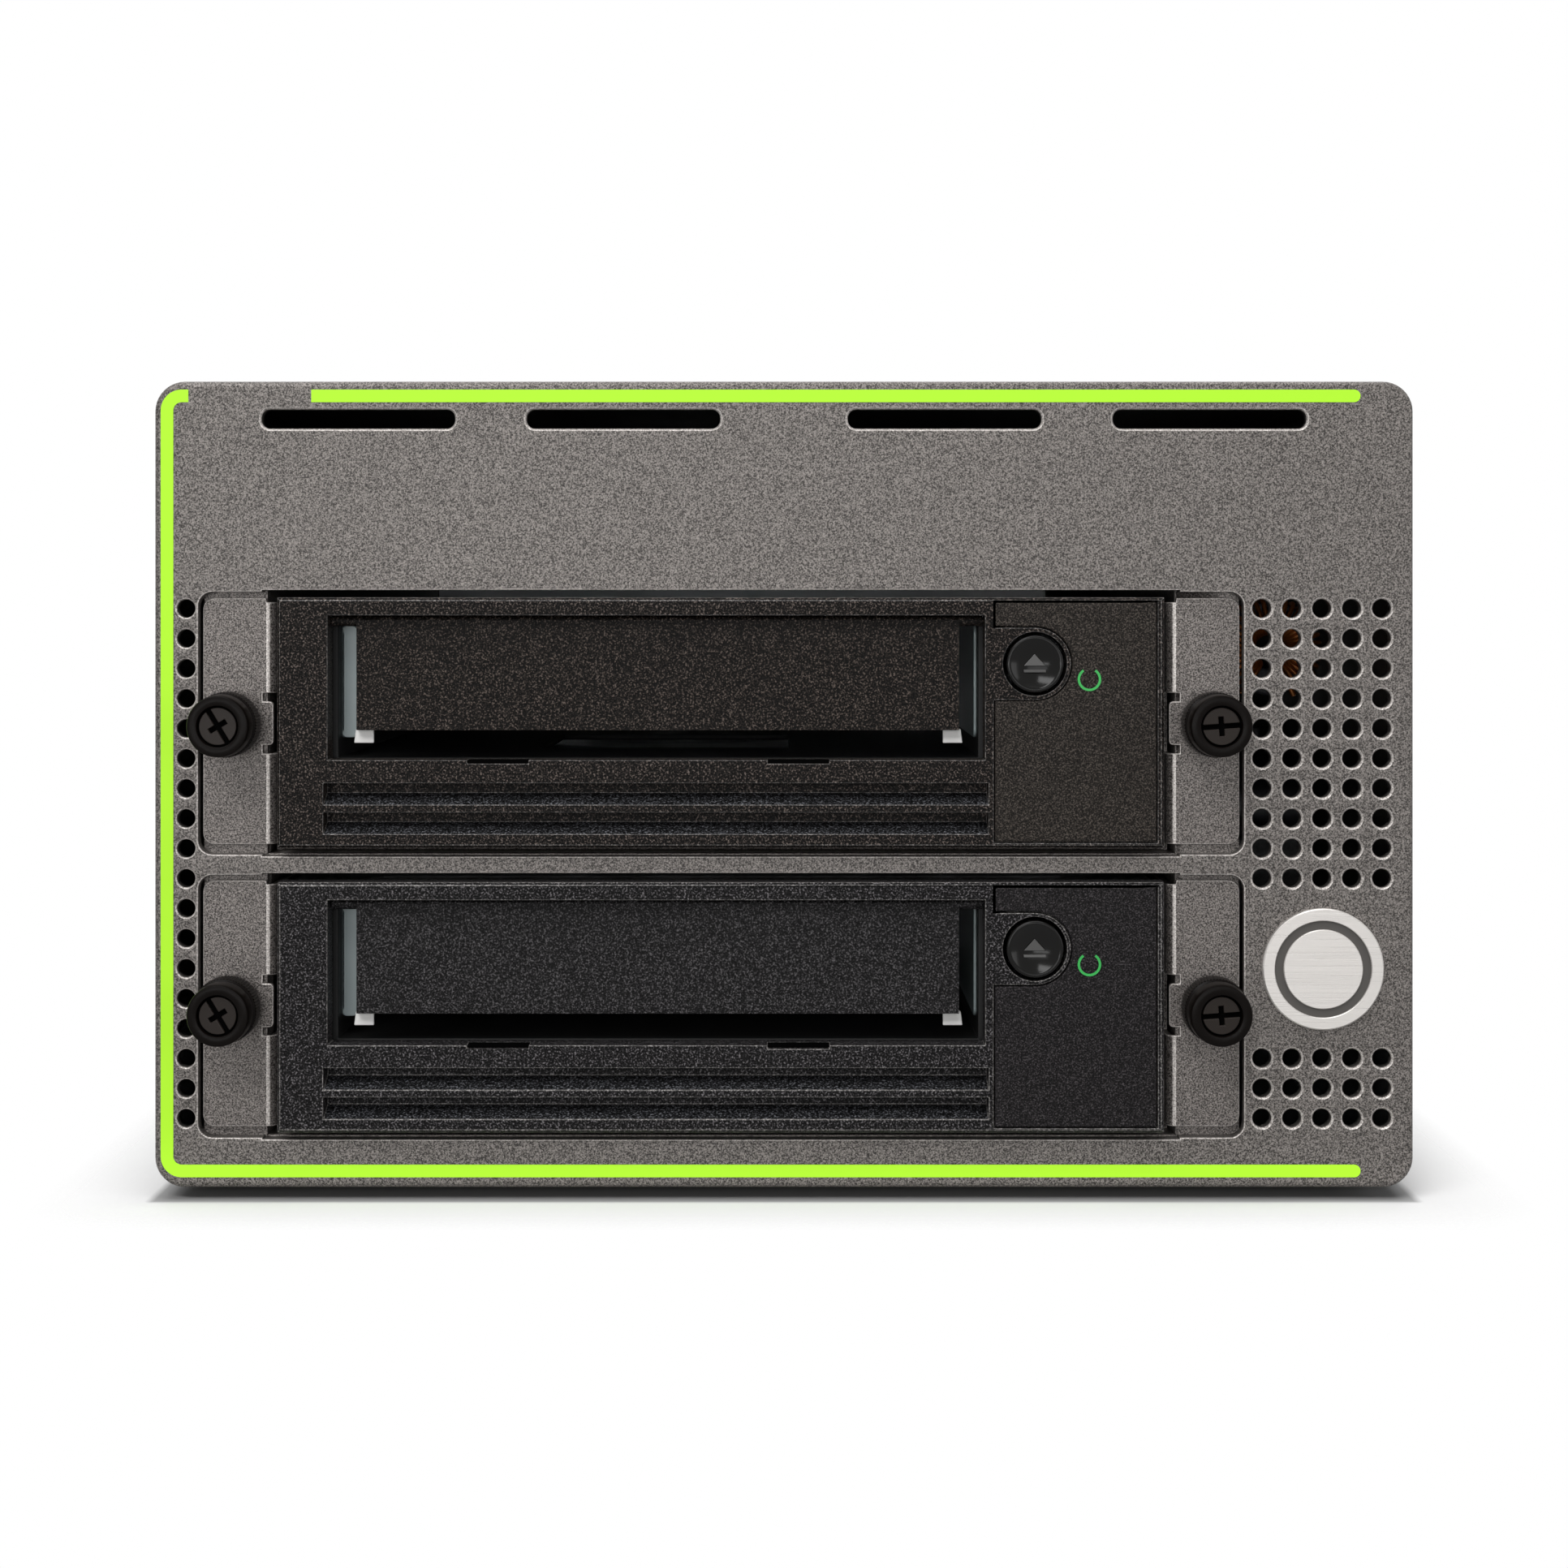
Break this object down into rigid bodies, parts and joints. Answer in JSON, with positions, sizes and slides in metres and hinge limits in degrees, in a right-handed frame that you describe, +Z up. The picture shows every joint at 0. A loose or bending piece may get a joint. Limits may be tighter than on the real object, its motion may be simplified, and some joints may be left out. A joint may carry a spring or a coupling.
{
  "type": "data tape drive",
  "caption": "Desktop enclosure with two half-height tape drives in pull-out sleds, grey perforated front panel with a lime stripe, rear fan and mains inlet.",
  "frame": {"origin": "middle of the object's bounding box at floor level, between the feet", "axes": "+X to the right seen from the front, +Y from the front panel to the rear panel, +Z up"},
  "size_m": [0.21, 0.3278, 0.1367],
  "materials": {
    "panel_paint": "fine metallic powder coat",
    "cover_paint": "powder coat",
    "lime": "satin film",
    "brushed_aluminium": "brushed",
    "rubber_black": "matt",
    "zinc_steel": "zinc coated",
    "sled_paint": "powder coat",
    "bezel_black": "moulded grain",
    "control_black": "fine grain",
    "button_black": "polished",
    "status_green": "light guide",
    "natural_white": "low-friction plastic",
    "screw_brown": "black oxide",
    "cast_deck": "cast",
    "tray_grey": "grey-blue coat",
    "plastic_black": "moulded",
    "plastic_white": "moulded",
    "board_green": "solder mask",
    "film_orange": "component sleeves"
  },
  "bodies": {
    "casing": {"front_panel": "panel_paint", "accent_stripe": "lime", "round_badge": "brushed_aluminium", "top_cover": "cover_paint", "bottom_chassis": "zinc_steel", "rubber_feet": "rubber_black", "rear_panel": "zinc_steel", "drive_cage": "sled_paint", "clinch_nuts": "zinc_steel", "docking_sockets": "board_green", "fan_frame": "plastic_black", "mains_inlet": "plastic_black", "supply_board": "board_green", "supply_components": "film_orange", "adapter_board": "board_green", "rear_ports": "zinc_steel"},
    "fan": {"fan_rotor": "plastic_black"},
    "rocker": {"power_rocker": "plastic_black"},
    "lower_sled": {"lower_sled": "sled_paint", "lower_bezel": "bezel_black", "lower_control_plate": "control_black", "lower_status_ring": "status_green", "lower_drive_base": "cast_deck", "lower_drive_lid": "zinc_steel", "lower_guide_rollers": "zinc_steel", "lower_logic_board": "board_green"},
    "lower_door": {"lower_tape_door": "bezel_black", "lower_door_glides": "natural_white"},
    "lower_eject_button": {"lower_eject_button": "button_black"},
    "lower_loader_tray": {"lower_loader_tray": "tray_grey"},
    "lower_supply_hub": {"lower_supply_hub": "plastic_white"},
    "lower_take_up_reel": {"lower_take_up_reel": "plastic_white"},
    "lower_head_carriage": {"lower_head_carriage": "cast_deck"},
    "lower_washer_left": {"lower_washer_left": "zinc_steel"},
    "lower_thumbscrew_left": {"lower_thumbscrew_left": "screw_brown"},
    "lower_washer_right": {"lower_washer_right": "zinc_steel"},
    "lower_thumbscrew_right": {"lower_thumbscrew_right": "screw_brown"},
    "upper_sled": {"upper_sled": "sled_paint", "upper_bezel": "bezel_black", "upper_control_plate": "control_black", "upper_status_ring": "status_green", "upper_drive_base": "cast_deck", "upper_drive_lid": "zinc_steel", "upper_guide_rollers": "zinc_steel", "upper_logic_board": "board_green"},
    "upper_door": {"upper_tape_door": "bezel_black", "upper_door_glides": "natural_white"},
    "upper_eject_button": {"upper_eject_button": "button_black"},
    "upper_loader_tray": {"upper_loader_tray": "tray_grey"},
    "upper_supply_hub": {"upper_supply_hub": "plastic_white"},
    "upper_take_up_reel": {"upper_take_up_reel": "plastic_white"},
    "upper_head_carriage": {"upper_head_carriage": "cast_deck"},
    "upper_washer_left": {"upper_washer_left": "zinc_steel"},
    "upper_thumbscrew_left": {"upper_thumbscrew_left": "screw_brown"},
    "upper_washer_right": {"upper_washer_right": "zinc_steel"},
    "upper_thumbscrew_right": {"upper_thumbscrew_right": "screw_brown"}
  },
  "joints": [
    {"name": "fan_spin", "type": "hinge", "parent": "casing", "child": "fan", "pos_m": [-0.022, 0.14338, 0.0562], "axis": [0, 1, 0], "continuous": true},
    {"name": "power_switch", "type": "hinge", "parent": "casing", "child": "rocker", "pos_m": [0.072, 0.15875, 0.0607], "axis": [1, 0, 0], "range_deg": [0, 18]},
    {"name": "lower_sled_slide", "type": "slide", "parent": "casing", "child": "lower_sled", "axis": [0, -1, 0], "range_m": [0, 0.19]},
    {"name": "lower_door_hinge", "type": "hinge", "parent": "lower_sled", "child": "lower_door", "pos_m": [-0.0105, -0.15373, 0.04955], "axis": [1, 0, 0], "range_deg": [0, 85], "stiffness_Nm_per_rad": 0.01},
    {"name": "lower_eject_press", "type": "slide", "parent": "lower_sled", "child": "lower_eject_button", "axis": [0, 1, 0], "range_m": [0, 0.001], "stiffness_N_per_m": 300},
    {"name": "lower_tray_slide", "type": "slide", "parent": "lower_sled", "child": "lower_loader_tray", "axis": [0, 1, 0], "range_m": [0, 0.01]},
    {"name": "lower_hub_spin", "type": "hinge", "parent": "lower_sled", "child": "lower_supply_hub", "pos_m": [-0.02115, -0.10003, 0.0223], "axis": [0, 0, 1], "continuous": true},
    {"name": "lower_reel_spin", "type": "hinge", "parent": "lower_sled", "child": "lower_take_up_reel", "pos_m": [-0.0225, 0.00387, 0.0223], "axis": [0, 0, 1], "continuous": true},
    {"name": "lower_head_shift", "type": "slide", "parent": "lower_sled", "child": "lower_head_carriage", "axis": [0, 0, 1], "range_m": [-0.002, 0.002], "stiffness_N_per_m": 400},
    {"name": "lower_screw_travel_left", "type": "slide", "parent": "lower_sled", "child": "lower_washer_left", "axis": [0, -1, 0], "range_m": [0, 0.004]},
    {"name": "lower_screw_turn_left", "type": "hinge", "parent": "lower_washer_left", "child": "lower_thumbscrew_left", "pos_m": [-0.0924, -0.15413, 0.0324], "axis": [0, -1, 0], "range_deg": [0, 2058]},
    {"name": "lower_screw_travel_right", "type": "slide", "parent": "lower_sled", "child": "lower_washer_right", "axis": [0, -1, 0], "range_m": [0, 0.004]},
    {"name": "lower_screw_turn_right", "type": "hinge", "parent": "lower_washer_right", "child": "lower_thumbscrew_right", "pos_m": [0.0714, -0.15413, 0.0324], "axis": [0, -1, 0], "range_deg": [0, 2058]},
    {"name": "upper_sled_slide", "type": "slide", "parent": "casing", "child": "upper_sled", "axis": [0, -1, 0], "range_m": [0, 0.19]},
    {"name": "upper_door_hinge", "type": "hinge", "parent": "upper_sled", "child": "upper_door", "pos_m": [-0.0105, -0.15373, 0.09675], "axis": [1, 0, 0], "range_deg": [0, 85], "stiffness_Nm_per_rad": 0.01},
    {"name": "upper_eject_press", "type": "slide", "parent": "upper_sled", "child": "upper_eject_button", "axis": [0, 1, 0], "range_m": [0, 0.001], "stiffness_N_per_m": 300},
    {"name": "upper_tray_slide", "type": "slide", "parent": "upper_sled", "child": "upper_loader_tray", "axis": [0, 1, 0], "range_m": [0, 0.01]},
    {"name": "upper_hub_spin", "type": "hinge", "parent": "upper_sled", "child": "upper_supply_hub", "pos_m": [-0.02115, -0.10003, 0.0695], "axis": [0, 0, 1], "continuous": true},
    {"name": "upper_reel_spin", "type": "hinge", "parent": "upper_sled", "child": "upper_take_up_reel", "pos_m": [-0.0225, 0.00387, 0.0695], "axis": [0, 0, 1], "continuous": true},
    {"name": "upper_head_shift", "type": "slide", "parent": "upper_sled", "child": "upper_head_carriage", "axis": [0, 0, 1], "range_m": [-0.002, 0.002], "stiffness_N_per_m": 400},
    {"name": "upper_screw_travel_left", "type": "slide", "parent": "upper_sled", "child": "upper_washer_left", "axis": [0, -1, 0], "range_m": [0, 0.004]},
    {"name": "upper_screw_turn_left", "type": "hinge", "parent": "upper_washer_left", "child": "upper_thumbscrew_left", "pos_m": [-0.0924, -0.15413, 0.0796], "axis": [0, -1, 0], "range_deg": [0, 2058]},
    {"name": "upper_screw_travel_right", "type": "slide", "parent": "upper_sled", "child": "upper_washer_right", "axis": [0, -1, 0], "range_m": [0, 0.004]},
    {"name": "upper_screw_turn_right", "type": "hinge", "parent": "upper_washer_right", "child": "upper_thumbscrew_right", "pos_m": [0.0714, -0.15413, 0.0796], "axis": [0, -1, 0], "range_deg": [0, 2058]}
  ],
  "couplings": [
    {"joint": "lower_screw_turn_left", "follows": "lower_screw_travel_left", "rad_per_m": 8976},
    {"joint": "lower_screw_turn_right", "follows": "lower_screw_travel_right", "rad_per_m": 8976},
    {"joint": "upper_screw_turn_left", "follows": "upper_screw_travel_left", "rad_per_m": 8976},
    {"joint": "upper_screw_turn_right", "follows": "upper_screw_travel_right", "rad_per_m": 8976}
  ]
}
